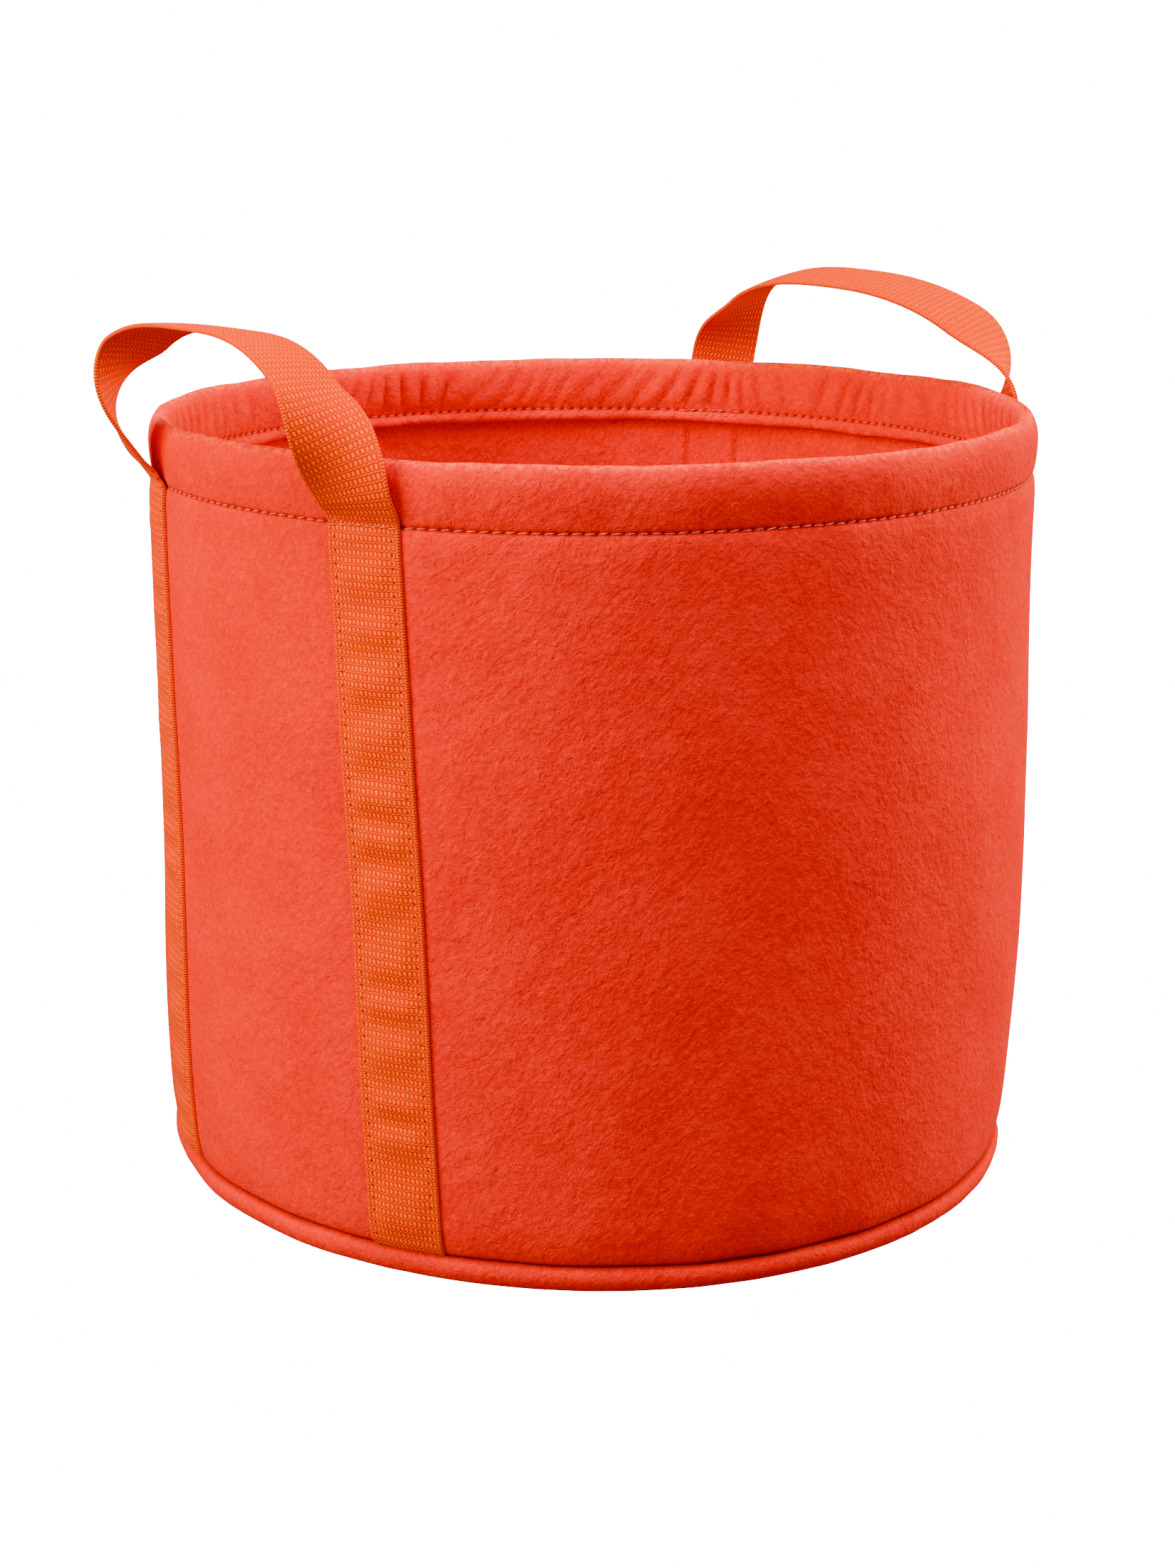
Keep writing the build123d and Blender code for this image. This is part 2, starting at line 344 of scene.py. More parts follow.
def outside_wall(angle, height):
    """Outward move, upward move and painted shading on the outside of the wall."""
    out = felt_radius(angle, height) - wall_size(height) + hem_pull(angle, height)
    # Painted shade along the hem's stitch groove, darkest at the needle holes.
    line = bump(height, HEM_Z, 1.1 * MM) * (0.3 + 0.7 * needle_hole(angle))
    # Painted shade in the ditch of the base seam.
    seam = 0.8 * bump(height, SEAM_Z, 1.6 * MM)
    # The rim's crest takes a painted highlight.
    return out, rim_rise(angle, height), max(line, seam) - rim_crest_highlight(height)


def turned_in_hem(angle, height):
    """The same on the hem inside the rim, which its gathers swell, with painted shade in the gathers'
    creases and along the stitch line.
    """
    out = 0.6 * (felt_radius(angle, height) - wall_size(height))
    up = rim_rise(angle, height)
    gather = gather_depth(angle, height)
    strength = 0.40 + 1.2 * max(waves(angle, 0, 0.05, 1, 13) + 0.15, 0)
    painted_shading = 0.0
    if height >= HEM_Z:
        reach = ease((height - HEM_Z - 0.6 * MM) / (5 * MM))
        reach *= 1 - 0.85 * ease((height - 255 * MM) / (9 * MM))
        swell = 1.9 * MM * strength * reach * (gather - 0.55)
        # Painted shade in the creases between the gathers.
        painted_shading = (1 - gather) * ease((height - HEM_Z) / (3 * MM))
        painted_shading *= strength * (1 - ease((height - 258 * MM) / (6 * MM)))
    else:
        reach = ease((HEM_Z - height - 0.4 * MM) / (2.5 * MM))
        swell = reach * MM * (0.4 * gather + 1.5 * max(waves(angle, 0, 0.03, 1, 14), -0.2))
        up += reach * MM * (0.9 * waves(angle, 0, 0.028, 1, 15) + 0.4 * waves(angle, 0, 0.008, 1, 16))
    swell += 0.3 * MM * reach * waves(angle, height, 0.006, 0.02, 17)
    pull = 0.5 * MM * needle_hole(angle) * bump(height, HEM_Z, 2 * MM)
    # Painted shade along the inside stitch line, darkest at the needle holes.
    line = bump(height, HEM_Z, 1.1 * MM) * (0.3 + 0.7 * needle_hole(angle))
    return out - swell + pull, up, max(0.5 * painted_shading, line) - rim_crest_highlight(height)


def inside_wall(angle, height):
    """The same on the bare inside of the wall, grooved where a strap is sewn on, with painted shade
    in the grooves.
    """
    groove = 0.0
    for foot in FEET.values():
        for side in (-1, 1):
            row = foot + side * (WEBBING_WIDTH / 2 - EDGE_INSET) / WALL_RADIUS
            groove = max(groove, bump(turn_between(row, angle) * WALL_RADIUS, 0, 2 * MM))
    out = 0.6 * (felt_radius(angle, height) - wall_size(height)) + 0.5 * MM * groove
    # Painted shade in the grooves of the strap stitching.
    return out, 0.0, 0.3 * groove


def felt_wall(material):
    """The sleeve of felt with its top edge turned in, once round its own section."""
    outline = OUTSIDE + TURNED_IN + INSIDE + ALLOWANCE + OUTSIDE[:1]
    sides = ([outside_wall] * len(OUTSIDE) + [turned_in_hem] * len(TURNED_IN)
             + [inside_wall] * len(INSIDE + ALLOWANCE) + [outside_wall])

    def change(angle, row, radius, height):
        out, up, shade = sides[row](angle, height)
        return settle(polar(angle, radius + out, height + up)), shade

    bm = rolled(outline, WALL_STEPS, change)
    made = piece("felt_wall", bm, material, "bag", ["wall_panel"])
    return made


# ------------------------------------------------------------ felt base
def base_outline():
    """Disc, rolled edge and turned-in allowance, from the middle of the underside round."""
    edge = [(147.4, 0.0), (149.2, 0.35), (150.9, 1.3), (152.1, 2.9), (152.6, 4.8),
              (152.5, 6.4), (151.9, 7.8), (150.9, 8.9), (149.8, 9.35), (147.5, 9.4),
              (144.5, 9.4), (141.8, 9.2), (141.3, 8.0), (141.8, 6.8), (145.2, 6.4),
              (147.6, 5.9), (148.2, 4.6), (147.0, 3.3), (144.5, 3.0)]
    under = [(0.0, 0.0), (20, 0), (50, 0), (80, 0), (105, 0), (125, 0), (138, 0), (144, 0)]
    top = [(138, 3), (125, 3), (105, 3), (80, 3), (50, 3), (20, 3), (0.0, 3)]
    return [(radius * MM, height * MM) for radius, height in under + edge + top]


def base_change(angle, row, radius, height):
    """Finished place and painted shade of a vertex of the base."""
    edge = ease((radius - 146 * MM) / (5 * MM))
    kink = max(abs(waves(angle, 0, 0.05, 1, 31)) - 0.28, 0) * 1.6
    out = edge * MM * (0.7 * waves(angle, height, 0.045, 0.03, 32) - 0.9 * kink)
    out += edge * 0.25 * MM * waves(angle, height, 0.009, 0.012, 33)
    up = edge * ease(height / (7 * MM)) * 0.45 * MM * waves(angle, 0, 0.02, 1, 34)
    if height > 2 * MM and radius < 146 * MM:
        up += 0.5 * MM * waves(angle, radius, 0.05, 0.05, 35) * (1 - edge) * ease(radius / (60 * MM))
    # Painted shade in the seam's ditch above the rolled edge.
    shade = 0.75 * bump(height, SEAM_Z, 1.3 * MM) * edge
    share = radius / (150 * MM)
    out -= share * foot_oval(angle, height)
    return polar(angle, radius + out, max(height + up, 0)) + Vector((*FOOT_LEAN, 0)), shade


def felt_base(material):
    """The disc whose edge rolls up to the seam."""
    bm = rolled(base_outline(), BASE_STEPS, base_change)
    made = piece("felt_base", bm, material, "bag", ["base_panel"])
    return made


# ------------------------------------------------------------ webbing straps
def chord(handle):
    """Middle of the line between a handle's feet, its direction, outwards, half its length."""
    radius = WALL_RADIUS + WEBBING_THICKNESS / 2
    start = polar(FEET[handle["first"]], radius, HEM_Z)
    end = polar(FEET[handle["second"]], radius, HEM_Z)
    along = (end - start).normalized()
    return (start + end) / 2, along, Vector((-along.y, along.x, 0)), (end - start).length / 2


def arch_point(angle, handle):
    """Middle line of a handle; angle goes from 0 at its first foot to pi at its second."""
    middle, along, outward, half_span = chord(handle)
    foot = 0 if angle < pi / 2 else 1
    power = 2 / handle["square"][foot]
    height = abs(sin(angle)) ** power
    reach = -copysign(abs(cos(angle)) ** power, cos(angle))
    bow = sin(pi * height)
    side = reach * half_span + copysign(handle["bow_side"][foot] * bow, reach)
    out = handle["lean"] * height + handle["bow_out"][foot] * bow
    rise = handle["rise"] * height - handle["skew"] * height * reach
    return middle + along * side + outward * out + Vector((0, 0, rise))


def arch_frame(angle, handle):
    """Centre, width direction and outward face of the webbing on its handle."""
    step = radians(0.5)
    tangent = (arch_point(angle + step, handle) - arch_point(angle - step, handle)).normalized()
    outward = chord(handle)[2]
    inward = (-outward - tangent * tangent.dot(-outward)).normalized()
    away = inward.cross(tangent)
    foot_twist = pi / 2 - abs(turn_between(FEET[handle["second"]], FEET[handle["first"]])) / 2
    smooth = ease(min(angle, pi - angle) / ARCH_TWIST_END)
    first_tilt, second_tilt = handle["tilt"]
    tilt = first_tilt + (second_tilt - first_tilt) * ease(angle / pi)
    twist = foot_twist * (1 - smooth) - tilt * smooth
    across = inward * cos(twist) + away * sin(twist)
    return arch_point(angle, handle), across, across.cross(tangent).normalized()


def strap_pucker(across, run, seed):
    """Low waves in a sewn strap between its two rows of stitching."""
    flat = 1 - ease((abs(across) - 5.5 * MM) / (4.5 * MM))
    drift = 0.5 * noise.noise(Vector((run / (30 * MM), seed * 5.7, across / (60 * MM))))
    fold = 0.5 - 0.5 * cos(2 * pi * (run / PUCKER_PITCH + 1.1 * drift))
    small = noise.noise(Vector((run / (9 * MM), seed * 3.9, across / (14 * MM))))
    return flat * MM * (1.0 * fold + 0.35 * small)


def leg_point(foot, sign, across, height, lift):
    """Point of a sewn strap centred on an angle; sign turns across to suit its handle."""
    angle = foot + sign * across / WALL_RADIUS
    radius = felt_radius(angle, height) + lift
    tuck = 1 - ease((height - SEAM_Z + 1 * MM) / (2.5 * MM))
    return settle(polar(angle, radius - 1.4 * MM * tuck, height))


def strap_stations():
    """Places along a strap: ("first", height), ("arch", angle) and ("second", height)."""
    bottom = LEG_BOTTOM_Z - 1.2 * MM
    steps = round((HEM_Z - bottom) / STRAP_STEP)
    leg = [bottom + (HEM_Z - bottom) * k / steps for k in range(steps + 1)]
    arch = [pi * ease_in(k / ARCH_STEPS) for k in range(1, ARCH_STEPS)]
    return ([("first", z) for z in leg] + [("arch", a) for a in arch]
            + [("second", z) for z in reversed(leg)])


def ease_in(share):
    """Even steps along the arch, which would bunch at its feet otherwise."""
    half = 1 - abs(2 * share - 1)
    stretched = half ** 1.15 / 2
    return stretched if share < 0.5 else 1 - stretched


def strap_point(handle, station, across, lift, seed):
    """A point of a whole strap at a station, across from its inner edge to its outer edge."""
    kind, where = station
    feet = {"first": (FEET[handle["first"]], 1), "second": (FEET[handle["second"]], -1)}
    if kind in feet:
        foot, sign = feet[kind]
        pucker = strap_pucker(across, where + seed + (0.9 if kind == "second" else 0), seed)
        pucker *= ease((HEM_Z - where) / (4 * MM)) * ease((where - SEAM_Z) / (6 * MM))
        return leg_point(foot, sign, across, where, lift + pucker)
    centre, direction, face = arch_frame(where, handle)
    crown = 0.5 * MM * (1 - (2 * across / WEBBING_WIDTH) ** 2)
    free = settle(centre + direction * across + face * (lift - WEBBING_THICKNESS / 2 + crown))
    rise = centre.z - HEM_Z
    if rise > SEWN_RISE:
        return free
    foot, sign = feet["first" if where < pi / 2 else "second"]
    sewn = leg_point(foot, sign, across, HEM_Z + rise, lift)
    return sewn.lerp(free, ease(rise / SEWN_RISE))


def strap_lengths(handle, stations, seed):
    """Length along the cloth at each station, a whole number of stitches from hem to hem."""
    arch = [strap_point(handle, s, 0, 0, seed) for s in stations if s[0] == "arch"]
    steps = [(after - before).length for before, after in zip(arch, arch[1:])]
    stitches = round((sum(steps) + steps[0] + steps[-1]) / EDGE_PITCH)
    whole = stitches * EDGE_PITCH
    lengths, run = [], HEM_Z + (whole - sum(steps)) / 2
    for kind, where in stations:
        if kind == "first":
            lengths.append(where)
        elif kind == "second":
            lengths.append(HEM_Z + whole + HEM_Z - where)
        else:
            lengths.append(run)
            run += steps.pop(0) if steps else 0
    return lengths


def strap(side, handle, material, seed):
    """One whole strap of webbing, up the wall, over as a handle and down again."""
    stations = strap_stations()
    bm = bmesh.new()
    sewn = bm.verts.layers.float.new("sewn")
    uv = bm.loops.layers.uv.new("cloth")
    made = bmesh.ops.create_grid(bm, x_segments=STRAP_COLUMNS, y_segments=len(stations) - 1, size=1)
    places = {}
    for index, vertex in enumerate(made["verts"]):
        row, column = divmod(index, STRAP_COLUMNS + 1)
        places[vertex] = (row, (column / STRAP_COLUMNS - 0.5) * WEBBING_WIDTH)
    length = strap_lengths(handle, stations, seed)
    for vertex, (row, across) in places.items():
        vertex.co = strap_point(handle, stations[row], across, WEBBING_THICKNESS / 2, seed)
        vertex[sewn] = stations[row][0] != "arch"
        for loop in vertex.link_loops:
            loop[uv].uv = (across, length[row])
    bm.normal_update()
    outward_face = min(bm.faces, key=lambda f: f.calc_center_median().z)
    centre = outward_face.calc_center_median()
    if outward_face.normal.dot(Vector((centre.x, centre.y, 0))) < 0:
        bmesh.ops.reverse_faces(bm, faces=bm.faces)
    nodes = [handle["first"] + "_strap", handle["second"] + "_strap", side + "_handle"]
    band = piece(side + "_webbing", bm, material, None)
    thick = band.modifiers.new("thickness", "SOLIDIFY")
    thick.thickness = WEBBING_THICKNESS
    thick.offset = 0
    thick.use_even_offset = True
    round_edges = band.modifiers.new("worn edges", "BEVEL")
    round_edges.width = 0.4 * MM
    round_edges.segments = 2
    round_edges.limit_method = "ANGLE"
    round_edges.angle_limit = radians(50)
    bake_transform(band)
    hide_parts(*nodes)
    return band


# ------------------------------------------------------------ thread
def stitch_shape():
    """A small bead that is stretched into each stitch."""
    bm = bmesh.new()
    bmesh.ops.create_uvsphere(bm, u_segments=6, v_segments=6, radius=1)
    bead = bpy.data.meshes.new("stitch_shape")
    bm.to_mesh(bead)
    bm.free()
    return bead


BEAD = stitch_shape()


def add_stitch(bm, start, end, normal, width=THREAD, dip=0.35 * MM):
    """One stitch lying on a surface between two needle holes."""
    length = (end - start).length
    along = (end - start).normalized()
    side = normal.cross(along).normalized()
    normal = along.cross(side).normalized()
    middle = (start + end) / 2
    axes = Matrix((side * width / 2, normal * width * 0.42, along * length / 2)).transposed()
    bm.from_mesh(BEAD)
    bm.verts.ensure_lookup_table()
    for vertex in bm.verts[-len(BEAD.vertices):]:
        bend = vertex.co.z ** 2
        vertex.co = middle + axes @ vertex.co - normal * dip * bend


def stitch_row(bm, places, slant=0.06, fill=0.86, width=THREAD):
    """Stitches between each place and the next; a place is a (point, normal) pair."""
    for (start, normal), (end, _) in zip(places, places[1:]):
        if (end - start).length > 3 * HEM_PITCH:
            continue
        along = end - start
        side = normal.cross(along) * (slant + random.uniform(-0.03, 0.03))
        ease_off = along * (1 - fill) / 2
        add_stitch(bm, start + ease_off - side, end - ease_off + side, normal, width)


def radial(point):
    """Level direction from the middle of the bag through a point."""
    return Vector((point.x, point.y, 0)).normalized()


def hem_needle_thread(material):
    """Outside row round the hem, which each strap covers."""
    bm = bmesh.new()
    count = stitch_count()
    half = (WEBBING_WIDTH / 2) / WALL_RADIUS
    for index in range(count):
        ends = [2 * pi * (index + shift) / count for shift in (0, 1)]
        if any(abs(turn_between(foot, angle)) < half for foot in FEET.values() for angle in ends):
            continue
        heights = [HEM_Z + random.uniform(-0.15, 0.15) * MM for _ in ends]
        points = [wall_point(a, z, -THREAD / 2) for a, z in zip(ends, heights)]
        stitch_row(bm, [(p, radial(p)) for p in points], slant=0.05)
    return piece("hem_needle_stitches", bm, material, "bag", ["hem_needle_thread"])


def hem_bobbin_thread(material):
    """Inside row round the hem."""
    bm = bmesh.new()
    count = stitch_count()
    for index in range(count):
        places = []
        for shift in (0, 1):
            angle = 2 * pi * (index + shift) / count
            out, up, _ = turned_in_hem(angle, HEM_Z)
            radius = HEM_INNER_RADIUS + out - THREAD / 2
            point = settle(polar(angle, radius, HEM_Z + up))
            places.append((point, -radial(point)))
        stitch_row(bm, places, slant=0.05)
    return piece("hem_bobbin_stitches", bm, material, "bag", ["hem_bobbin_thread"])


def strap_rows(bm, foot, handle, kind, seed):
    """Rows down both edges of a sewn strap, outside on the webbing and inside on the felt."""
    steps = floor((HEM_Z - SEAM_Z - 4 * MM) / EDGE_PITCH)
    reach = WEBBING_WIDTH / 2 - EDGE_INSET
    for side in (-1, 1):
        outer, inner = [], []
        for step in range(steps + 1):
            height = HEM_Z - step * EDGE_PITCH
            wander = 0.25 * MM * noise.noise(Vector((height / 0.03, side * 4, seed)))
            point = strap_point(handle, (kind, height), side * reach + wander,
                                WEBBING_THICKNESS + 0.02 * MM, seed)
            outer.append((point, radial(point)))
            angle = FEET[foot] + side * reach / WALL_RADIUS
            if height < HEM_Z - HEM_RAW_EDGE - 1 * MM:
                radius = wall_size(height) - FELT - 0.12 * MM
                out, up, _ = inside_wall(angle, height)
                radius += out
                point = settle(polar(angle, radius, height + up))
                inner.append((point, -radial(point)))
        stitch_row(bm, outer, slant=0.03, fill=0.8, width=EDGE_THREAD)
        stitch_row(bm, inner, slant=0.03, fill=0.8, width=INNER_THREAD)


def strap_edge_thread(handle, material, seed):
    """Both edges of the two sewn ends of a strap."""
    for kind in ("first", "second"):
        foot = handle[kind]
        bm = bmesh.new()
        strap_rows(bm, foot, handle, kind, seed)
        piece(foot + "_edge_stitches", bm, material, "bag", [foot + "_edge_thread"])


def tack_rows(bm, foot, sign, row):
    """One crowded row across a strap, outside on the webbing and inside on the hem."""
    reach = WEBBING_WIDTH / 2 - 0.6 * MM
    count = round(2 * reach / TACK_PITCH)
    rise = row * TACK_GAP - 0.2 * MM
    outer, inner = [], []
    for step in range(count + 1):
        across = min(-reach + 2 * reach * (step + 0.35 * row) / count, reach)
        height = HEM_Z + rise + random.uniform(-0.35, 0.35) * MM
        point = leg_point(FEET[foot], sign, across, height, WEBBING_THICKNESS + 0.15 * MM)
        outer.append((point, radial(point)))
        angle = FEET[foot] + sign * across / WALL_RADIUS
        low = HEM_Z - row * 1.7 * MM + random.uniform(-0.25, 0.25) * MM
        out, up, _ = turned_in_hem(angle, low)
        point = settle(polar(angle, HEM_INNER_RADIUS - 0.3 * MM + out, low + up))
        inner.append((point, -radial(point)))
    stitch_row(bm, outer, slant=0.10, fill=1.05, width=TACK_THREAD)
    stitch_row(bm, inner, slant=0.10, fill=1.05, width=0.55 * MM)


def strap_tack_thread(handle, material):
    """Rows that hold each strap to the hem."""
    for kind, sign in (("first", 1), ("second", -1)):
        foot = handle[kind]
        bm = bmesh.new()
        for row in range(2):
            tack_rows(bm, foot, sign, row)
        piece(foot + "_tack_stitches", bm, material, "bag", [foot + "_tack_thread"])


def base_seam_thread(material):
    """Row through the two turned-in edges inside the base."""
    bm = bmesh.new()
    count = round(2 * pi * SEAM_ROW_RADIUS / HEM_PITCH)
    places = []
    for index in range(count + 1):
        point = polar(2 * pi * index / count, SEAM_ROW_RADIUS, SEAM_ROW_Z)
        places.append((point, Vector((0, 0, 1))))
    stitch_row(bm, places)
    return piece("base_seam_stitches", bm, material, "bag", ["base_seam_thread"])


# ------------------------------------------------------------ materials
class Wire:
    """A shader socket that takes part in arithmetic."""

    def __init__(self, finish, socket):
        self.finish, self.socket = finish, socket

    def maths(self, operation, *values):
        return self.finish.node("ShaderNodeMath", {"operation": operation}, *values)

    def __add__(self, other):
        return self.maths("ADD", self, other)

    def __sub__(self, other):
        return self.maths("SUBTRACT", self, other)

    def __rsub__(self, other):
        return self.maths("SUBTRACT", other, self)

    def __mul__(self, other):
        return self.maths("MULTIPLY", self, other)

    def __truediv__(self, other):
        return self.maths("DIVIDE", self, other)

    __radd__ = __add__
    __rmul__ = __mul__

    def fraction(self):
        return self.maths("FRACT", self)

    def size(self):
        return self.maths("ABSOLUTE", self)

    def power(self, value):
        return self.maths("POWER", self, value)

    def least(self, other):
        return self.maths("MINIMUM", self, other)

    def most(self, other):
        return self.maths("MAXIMUM", self, other)

    def between(self, low, high):
        """0 at low and 1 at high, smooth in between."""
        settings = {"interpolation_type": "SMOOTHSTEP"}
        return self.finish.node("ShaderNodeMapRange", settings, self, low, high)


class Finish:
    """A material under construction."""

    def __init__(self, name):
        self.material = bpy.data.materials.new(name)
        self.material.use_nodes = True
        self.tree = self.material.node_tree
        self.shader = next(n for n in self.tree.nodes if n.type == "BSDF_PRINCIPLED")

    def plug(self, socket, value):
        if isinstance(value, Wire):
            self.tree.links.new(value.socket, socket)
        else:
            socket.default_value = value

    def node(self, kind, settings=None, *values, out=0, **named):
        made = self.tree.nodes.new(kind)
        for key, value in (settings or {}).items():
            setattr(made, key, value)
        for index, value in enumerate(values):
            self.plug(made.inputs[index], value)
        for key, value in named.items():
            self.plug(made.inputs[key.replace("_", " ")], value)
        return Wire(self, made.outputs[out])

    def set(self, **named):
        for key, value in named.items():
            self.plug(self.shader.inputs[key.replace("_", " ")], value)

    def mix(self, amount, first, second):
        made = self.tree.nodes.new("ShaderNodeMix")
        made.data_type = "RGBA"
        for index, value in ((0, amount), (6, first), (7, second)):
            self.plug(made.inputs[index], value)
        return Wire(self, made.outputs[2])

    def noise(self, place, scale, detail=2.0, rough=0.5, distort=0.0):
        return self.node("ShaderNodeTexNoise", None, Vector=place, Scale=scale,
                         Detail=detail, Roughness=rough, Distortion=distort)

    def bump(self, height, distance, strength=1.0):
        return self.node("ShaderNodeBump", None, Height=height, Distance=distance, Strength=strength)


def felt_finish():
    """Needled felt: soft mottling, short loose fibres, painted shade in needle pits, folds, grooves
    and seams, and a painted highlight on the rim's crest.
    """
    felt = Finish("needled_felt")
    place = felt.node("ShaderNodeTexCoord", None, out=3)
    cloud = felt.noise(place, 34, 3, 0.55).between(0.34, 0.68)
    tuft = felt.noise(place, 380, 4, 0.68, 0.6).between(0.30, 0.72)
    grain = felt.noise(place, 1500, 3, 0.7, 0.8)
    dents = felt.noise(place, 120, 3, 0.55, 0.4)

    def strokes(turn, shift):
        leaning = felt.node("ShaderNodeMapping", None, place, shift, turn)
        drawn = felt.node("ShaderNodeMapping", None, leaning, Scale=(620, 620, 190))
        return felt.noise(drawn, 1.0, 3, 0.6, 0.5).between(0.32, 0.70)

    combed = strokes((0.5, 0.4, 0), (0, 0, 0)) * 0.5 + strokes((-0.6, -0.5, 0), (3, 1, 2)) * 0.5

    def hairs(scale, shift, thin):
        moved = felt.node("ShaderNodeVectorMath", {"operation": "ADD"}, place, shift)
        curl = felt.noise(moved, scale, 1.0, 0.4, 0.9)
        line = 1 - ((curl - 0.5).size() / thin).least(1.0)
        patch = felt.noise(moved, scale * 1.9, 1.0, 0.5).between(0.52, 0.66)
        return line * patch

    fibre = hairs(230, (0.31, 0.12, 0.57), 0.020)
    fibre = fibre.most(hairs(330, (0.71, 0.44, 0.23), 0.024))
    fibre = fibre.most(hairs(450, (0.18, 0.83, 0.39), 0.03))
    cells = felt.node("ShaderNodeTexVoronoi", None, place, Scale=620)
    pits = (1 - cells.between(0.06, 0.26)) * felt.noise(place, 190, 1).between(0.54, 0.66)
    # Per-vertex painted shading: above zero painted shade, below zero painted highlight.
    painted_shading = felt.node("ShaderNodeAttribute", {"attribute_name": "painted_shading"}, out=2)

    low, middle, high = (0.60, 0.018, 0.007, 1), (0.82, 0.035, 0.014, 1), (0.97, 0.060, 0.022, 1)
    colour = felt.mix(combed * 0.5 + cloud * 0.25 + grain.between(0.3, 0.7) * 0.25, low, high)
    colour = felt.mix(0.35, colour, middle)
    colour = felt.mix(fibre * 0.35, colour, (1.0, 0.12, 0.03, 1))
    # Painted highlight: paler felt along the rim's crest.
    painted_highlight = (0 - painted_shading).most(0.0) * felt.noise(place, 520, 3, 0.6).between(0.40, 0.62)
    colour = felt.mix(painted_highlight * 0.7, colour, (1.0, 0.15, 0.045, 1))
    # Painted shade in the needle pits.
    colour = felt.mix(pits * 0.4, colour, (0.34, 0.010, 0.003, 1))
    # Painted shade in the grooves, seams, needle holes and gather creases.
    colour = felt.mix(painted_shading.most(0.0) * 0.9, colour, (0.16, 0.003, 0.001, 1))
    height = combed * 0.35 + tuft * 0.5 + grain * 0.45 + fibre * 0.2 - pits * 0.3 + cloud * 0.6
    height = height + dents * 1.8
    felt.set(Base_Color=colour, Normal=felt.bump(height, 0.45 * MM, 0.9),
             Roughness=0.95, Specular_IOR_Level=0.08)
    felt.set(Sheen_Weight=0.05, Sheen_Roughness=0.5, Sheen_Tint=(1.0, 0.35, 0.15, 1))
    return felt.material


def webbing_finish():
    """Plain-woven webbing that follows the cloth's own map: across, then along."""
    warp, row_pitch = 1.5 * MM, 2.4 * MM
    web = Finish("woven_webbing")
    cloth = web.node("ShaderNodeUVMap", {"uv_map": "cloth"})
    place = web.node("ShaderNodeTexCoord", None, out=3)
    wobble = web.noise(place, 700, 2, 0.5) - 0.5
    parts = web.tree.nodes.new("ShaderNodeSeparateXYZ")
    web.plug(parts.inputs[0], cloth)
    across, along = Wire(web, parts.outputs[0]), Wire(web, parts.outputs[1])
    row = along / row_pitch + wobble * 0.22
    slant = (row.fraction() - 0.5) * 0.28
    column = across / warp + 40.5 + wobble * 0.4 + slant
    in_column = (column.fraction() - 0.5).size()
    in_row = (row.fraction() - 0.5).size()
    loop = 1 - (in_column / 0.33).power(2) - (in_row / 0.36).power(4)
    loop = loop.most(0.0).power(0.5)
    from_gap = (0.5 - in_row) / 0.15
    bead = 1 - from_gap.power(2) - ((0.5 - in_column) / 0.30).power(2)
    pick = (1 - from_gap.power(2)).most(0.0) * 0.35
    pick = pick.most(bead.most(0.0).power(0.5) * 0.75)
    strands = web.noise(web.node("ShaderNodeMapping", None, cloth, Scale=(7000, 1500, 1)), 1.0, 2)
    height = loop.most(pick)
    edge = across.size().between(11.8 * MM, 12.1 * MM)
    knots = ((along / (0.9 * MM)).fraction() - 0.5).size() * 2
    height = height * (1 - edge) + edge * (1 - knots.power(2)) * 0.7
    sewn = web.node("ShaderNodeAttribute", {"attribute_name": "sewn"}, out=2)
    from_hole = (((along - HEM_Z) / EDGE_PITCH + 0.5).fraction() - 0.5) * EDGE_PITCH
    from_row = across.size() - (WEBBING_WIDTH / 2 - EDGE_INSET)
    hole = 1 - (from_hole.power(2) + from_row.power(2)).power(0.5).between(0.2 * MM, 0.55 * MM)
    hole = hole * sewn
    height = height - hole * 0.6
    fade = web.noise(place, 60, 2)
    # Painted shade in the weave's low valleys and painted highlight on its raised loops, following
    # the weave's height.
    colour = web.mix(height.between(0.1, 0.95), (0.68, 0.020, 0.0002, 1), (1.0, 0.140, 0.0006, 1))
    colour = web.mix(strands.between(0.4, 0.75) * 0.2, colour, (1.0, 0.14, 0.001, 1))
    colour = web.mix(fade.between(0.3, 0.75) * 0.2, colour, (0.85, 0.060, 0.0003, 1))
    # Painted shade in the needle holes of the edge stitching.
    colour = web.mix(hole * 0.65, colour, (0.20, 0.008, 0.001, 1))
    web.set(Base_Color=colour, Roughness=0.7, Specular_IOR_Level=0.08,
            Normal=web.bump(height + strands * 0.15, 0.30 * MM, 0.9))
    return web.material


def thread_finish(name, shaded, bright):
    """Twisted sewing thread between two shades."""
    thread = Finish(name)
    place = thread.node("ShaderNodeTexCoord", None, out=3)
    twist = thread.noise(place, 2200, 2, 0.5)
    colour = thread.mix(twist.between(0.35, 0.65), shaded, bright)
    thread.set(Base_Color=colour, Roughness=0.6, Normal=thread.bump(twist, 0.12 * MM))
    return thread.material


def floor_finish():
    """Pale matt floor that glows white, as its own light and not on the bag."""
    ground = Finish("pale_floor")
    place = ground.node("ShaderNodeTexCoord", None, out=3)
    tone = ground.noise(place, 3, 2)
    ground.set(Base_Color=ground.mix(tone * 0.2, (0.9, 0.9, 0.9, 1), (0.86, 0.86, 0.86, 1)),
               Roughness=0.8, Emission_Color=(1, 1, 1, 1), Emission_Strength=8.0)
    return ground.material


# ------------------------------------------------------------ studio
CAMERA_AZIMUTH = -39.4      # degrees


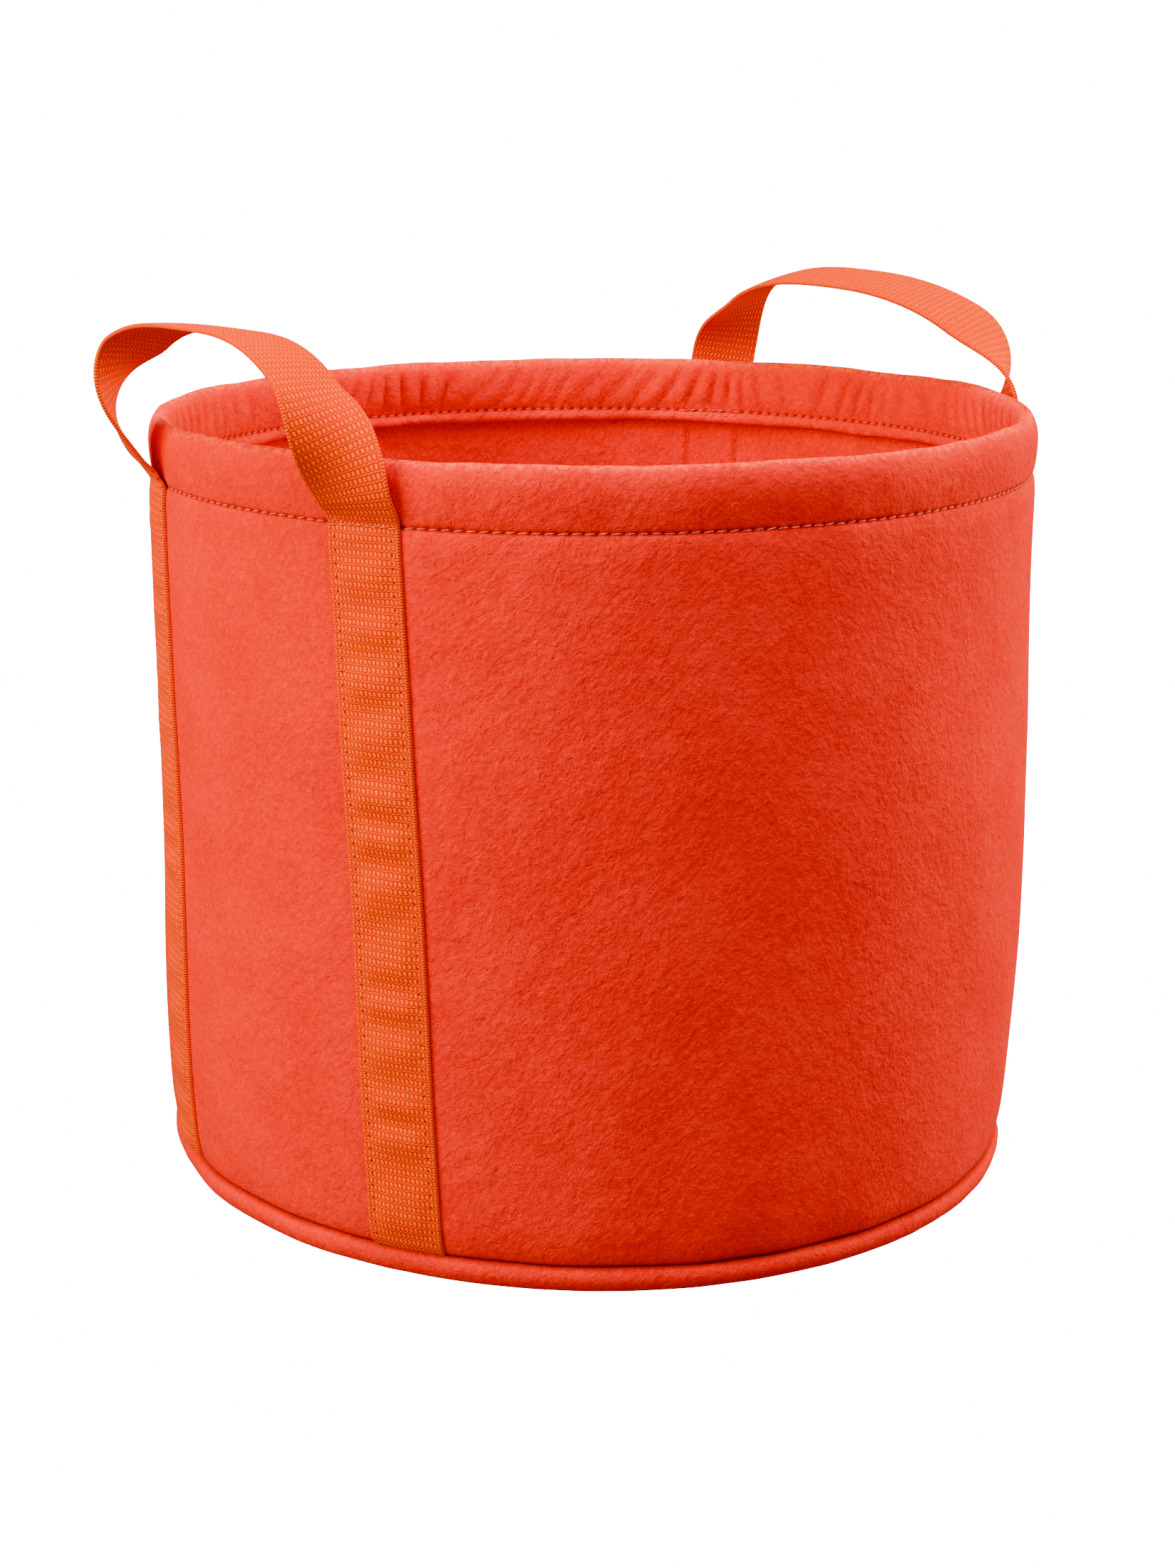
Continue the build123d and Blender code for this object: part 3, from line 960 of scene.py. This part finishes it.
def camera():
    """Looks from the front left, a little above the rim."""
    azimuth, pitch, roll = radians(CAMERA_AZIMUTH), radians(14.51), radians(0.87)
    back = 942.6 * MM
    aim_off = -2.9 * MM
    turn = Matrix.Rotation(azimuth, 3, "Z")
    forward = turn @ Vector((0, cos(pitch), -sin(pitch)))
    right = turn @ Vector((1, 0, 0))
    up = turn @ Vector((0, sin(pitch), cos(pitch)))
    right, up = right * cos(roll) + up * sin(roll), up * cos(roll) - right * sin(roll)
    place = turn @ Vector((aim_off, -back, 0)) + Vector((0, 0, 375.6 * MM))
    lens = bpy.data.cameras.new("camera")
    lens.sensor_width = 36
    lens.lens = 62.0
    lens.shift_x = 0.0019
    lens.shift_y = -0.0063
    lens.clip_end = 30
    made = bpy.data.objects.new("camera", lens)
    made.matrix_world = Matrix.Translation(place) @ Matrix(
        (right, up, -forward)).transposed().to_4x4()
    bpy.context.scene.collection.objects.link(made)
    bpy.context.scene.camera = made


def soft_light(name, azimuth, elevation, distance, size, power, colour):
    """A square light that faces the bag."""
    lamp = bpy.data.lights.new(name, "AREA")
    lamp.size = size
    lamp.energy = power
    lamp.color = colour
    made = bpy.data.objects.new(name, lamp)
    turn, rise = radians(azimuth), radians(elevation)
    direction = Vector((sin(turn) * cos(rise), -cos(turn) * cos(rise), sin(rise)))
    target = Vector((0, 0, BAG_HEIGHT / 2))
    made.location = target + direction * distance
    made.rotation_euler = direction.to_track_quat("Z", "Y").to_euler()
    bpy.context.scene.collection.objects.link(made)


WARM = (1.0, 1.0, 0.75)     # the two side lights
COOL = (1.0, 1.0, 1.9)      # the light from above and all round


def studio():
    """Azimuths are about the bag, as the camera's is: more is further to the right."""
    view = CAMERA_AZIMUTH
    soft_light("left_softbox", view - 62, 26, 1.5, 1.0, 30, WARM)
    soft_light("right_softbox", view + 103, 24, 1.5, 0.8, 30, WARM)
    soft_light("top_softbox", view + 5, 72, 1.5, 1.0, 22, COOL)
    world = bpy.data.worlds.new("studio")
    world.use_nodes = True
    world.node_tree.nodes["Background"].inputs[0].default_value = (*COOL, 1)
    world.node_tree.nodes["Background"].inputs[1].default_value = 0.42
    scene = bpy.context.scene
    scene.world = world
    scene.view_settings.view_transform = "AgX"
    scene.view_settings.look = "AgX - Medium High Contrast"
    sweep()


def sweep():
    """A white floor that curves up into a white backdrop all round."""
    bm = bmesh.new()
    outline = [(0.0, 0.0), (2.5, 0.0), (3.0, 0.1), (3.35, 0.45), (3.5, 1.0), (3.5, 2.5)]
    line = [bm.verts.new((radius, 0, height)) for radius, height in outline]
    edges = [bm.edges.new(pair) for pair in zip(line, line[1:])]
    bmesh.ops.spin(bm, geom=line + edges, cent=(0, 0, 0), axis=(0, 0, 1), angle=2 * pi,
                   steps=96, use_merge=True)
    bmesh.ops.remove_doubles(bm, verts=bm.verts, dist=1e-6)
    bmesh.ops.recalc_face_normals(bm, faces=bm.faces)
    mesh = bpy.data.meshes.new("floor")
    bm.to_mesh(mesh)
    bm.free()
    mesh.shade_smooth()
    mesh.materials.append(floor_finish())
    ground = bpy.data.objects.new("floor", mesh)
    ground.visible_diffuse = False
    ground.visible_glossy = False
    bpy.context.scene.collection.objects.link(ground)


camera()
studio()
felt = felt_finish()
webbing = webbing_finish()
thread = thread_finish("sewing_thread", (0.52, 0.040, 0.012, 1), (0.90, 0.17, 0.06, 1))
web_thread = thread_finish("webbing_thread", (0.52, 0.026, 0.001, 1), (0.92, 0.11, 0.004, 1))
felt_wall(felt)
felt_base(felt)
for number, (side, handle) in enumerate(HANDLES.items()):
    strap(side, handle, webbing, number)
    strap_edge_thread(handle, web_thread, number)
    strap_tack_thread(handle, thread)
hem_needle_thread(thread)
hem_bobbin_thread(thread)
base_seam_thread(thread)
